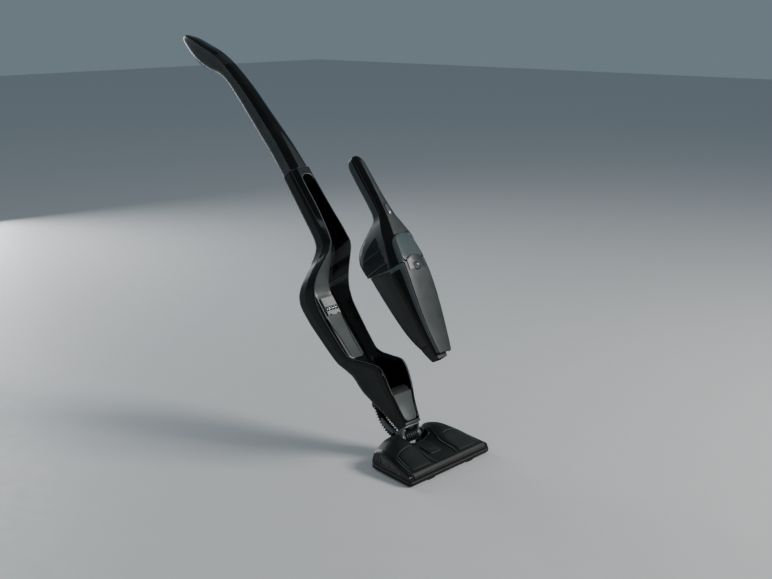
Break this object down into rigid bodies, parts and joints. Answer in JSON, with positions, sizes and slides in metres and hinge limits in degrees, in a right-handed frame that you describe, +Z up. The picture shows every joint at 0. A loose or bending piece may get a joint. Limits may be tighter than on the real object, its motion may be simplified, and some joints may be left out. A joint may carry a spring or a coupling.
{
  "type": "cordless stick vacuum",
  "caption": "Upright cordless stick vacuum leaning back on its floor head, with the lift-out hand unit drawn forward from its cradle.",
  "frame": {"origin": "on the floor, at the middle of the glide pad under the floor head", "axes": "+X across the floor head to its right as seen from behind it, -Y to its front edge, +Z up"},
  "size_m": [0.2562, 0.7814, 0.8418],
  "materials": {
    "gloss_black": "gloss",
    "matte_black": "matte",
    "head_green_black": "satin",
    "matte_grey": "satin",
    "graphite": "satin",
    "pale_grey": "satin",
    "smoke_clear": "gloss",
    "window_teal": "gloss",
    "side_glass": "gloss",
    "rubber_black": "matte",
    "hose_black": "satin",
    "bristle_grey": "matte",
    "filter_white": "matte",
    "steel": "satin",
    "bright_metal": "polished",
    "cell_wrap": "satin",
    "board_green": "satin"
  },
  "bodies": {
    "head": {"head_shell": "head_green_black", "end_cap_L": "gloss_black", "end_cap_R": "gloss_black", "side_window_L": "side_glass", "side_window_R": "side_glass", "deck_panel_L": "matte_grey", "deck_panel_R": "matte_grey", "front_lip": "matte_grey", "bumper_skirt": "matte_black", "base_plate": "matte_black", "glide_pad": "rubber_black", "hinge_pin": "steel", "brush_chamber": "matte_black", "brush_motor": "steel", "drive_belt": "rubber_black"},
    "wheel_left": {"rear_wheel_L": "rubber_black"},
    "wheel_right": {"rear_wheel_R": "rubber_black"},
    "pedal": {"foot_pedal": "matte_grey"},
    "brush": {"brush_core": "matte_black", "bristles": "bristle_grey"},
    "motor_shaft": {"motor_pulley": "steel"},
    "neck": {"neck_yoke": "pale_grey", "neck_drum": "matte_black", "hose_elbow": "matte_black", "suction_hose": "hose_black"},
    "stick": {"stick_spine": "gloss_black", "cup_shell": "matte_grey", "back_cover": "graphite", "cradle_liner": "matte_grey", "contact_block": "pale_grey", "contact_strip": "bright_metal", "cup_floor": "matte_black", "inlet_seal": "rubber_black", "hose_outlet": "matte_black", "front_plate": "matte_grey", "recess_arch": "matte_grey", "swivel_foot": "matte_black", "stick_horn_L": "pale_grey", "stick_horn_R": "pale_grey", "shaft_back": "graphite", "shaft_front": "gloss_black", "grip_top": "gloss_black", "grip_pad": "rubber_black", "wall_bumper": "rubber_black"},
    "latch": {"release_latch": "pale_grey"},
    "stick_switch": {"switch_pad": "matte_black"},
    "hand": {"hand_front_shell": "gloss_black", "hand_rear_shell": "graphite", "hand_strip": "matte_grey", "hand_window": "window_teal", "hand_cover": "matte_grey", "fan_motor": "steel", "battery_pack": "cell_wrap", "control_board": "board_green"},
    "power_key": {"power_button": "bright_metal"},
    "release_key": {"release_button": "pale_grey"},
    "bin": {"dust_container": "smoke_clear", "inlet_nozzle": "matte_black", "filter_cone": "filter_white"},
    "fan": {"fan_rotor": "bright_metal"}
  },
  "joints": [
    {"name": "neck_pitch", "type": "hinge", "parent": "head", "child": "neck", "pos_m": [0, 0.04, 0.045], "axis": [-1, 0, 0], "range_deg": [-36.5, 33.5]},
    {"name": "steer", "type": "hinge", "parent": "neck", "child": "stick", "pos_m": [0, 0.04981, 0.07506], "axis": [0, 0.5948, 0.8039], "range_deg": [-35, 35], "deforming": ["suction_hose"]},
    {"name": "undock", "type": "slide", "parent": "stick", "child": "hand", "axis": [0, -0.8039, 0.5948], "range_m": [-0.15, 0]},
    {"name": "bin_pull", "type": "slide", "parent": "hand", "child": "bin", "axis": [0, -0.3749, -0.9271], "range_m": [0, 0.06]},
    {"name": "latch_press", "type": "slide", "parent": "stick", "child": "latch", "axis": [0, -0.8039, 0.5948], "range_m": [0, 0.002], "stiffness_N_per_m": 1500},
    {"name": "stick_switch_press", "type": "slide", "parent": "stick", "child": "stick_switch", "axis": [0, 0.8039, -0.5948], "range_m": [0, 0.001], "stiffness_N_per_m": 1500},
    {"name": "power_press", "type": "slide", "parent": "hand", "child": "power_key", "axis": [0, 0.8039, -0.5948], "range_m": [0, 0.0015], "stiffness_N_per_m": 1500},
    {"name": "release_press", "type": "slide", "parent": "hand", "child": "release_key", "axis": [0, 0.8039, -0.5948], "range_m": [0, 0.002], "stiffness_N_per_m": 1500},
    {"name": "fan_spin", "type": "hinge", "parent": "hand", "child": "fan", "pos_m": [0, 0.09459, 0.38776], "axis": [0, 0.5948, 0.8039], "continuous": true},
    {"name": "pedal_press", "type": "hinge", "parent": "head", "child": "pedal", "pos_m": [0, -0.0034, 0.033], "axis": [1, 0, 0], "range_deg": [0, 6], "stiffness_Nm_per_rad": 2},
    {"name": "brush_spin", "type": "hinge", "parent": "head", "child": "brush", "pos_m": [0, -0.037, 0.0106], "axis": [1, 0, 0], "continuous": true},
    {"name": "motor_spin", "type": "hinge", "parent": "head", "child": "motor_shaft", "pos_m": [0.097, 0.006, 0.024], "axis": [1, 0, 0], "continuous": true},
    {"name": "wheel_left_spin", "type": "hinge", "parent": "head", "child": "wheel_left", "pos_m": [-0.078, 0.038, 0.012], "axis": [1, 0, 0], "continuous": true},
    {"name": "wheel_right_spin", "type": "hinge", "parent": "head", "child": "wheel_right", "pos_m": [0.078, 0.038, 0.012], "axis": [1, 0, 0], "continuous": true}
  ],
  "couplings": [
    {"joint": "motor_spin", "follows": "brush_spin", "ratio": 1.05}
  ]
}
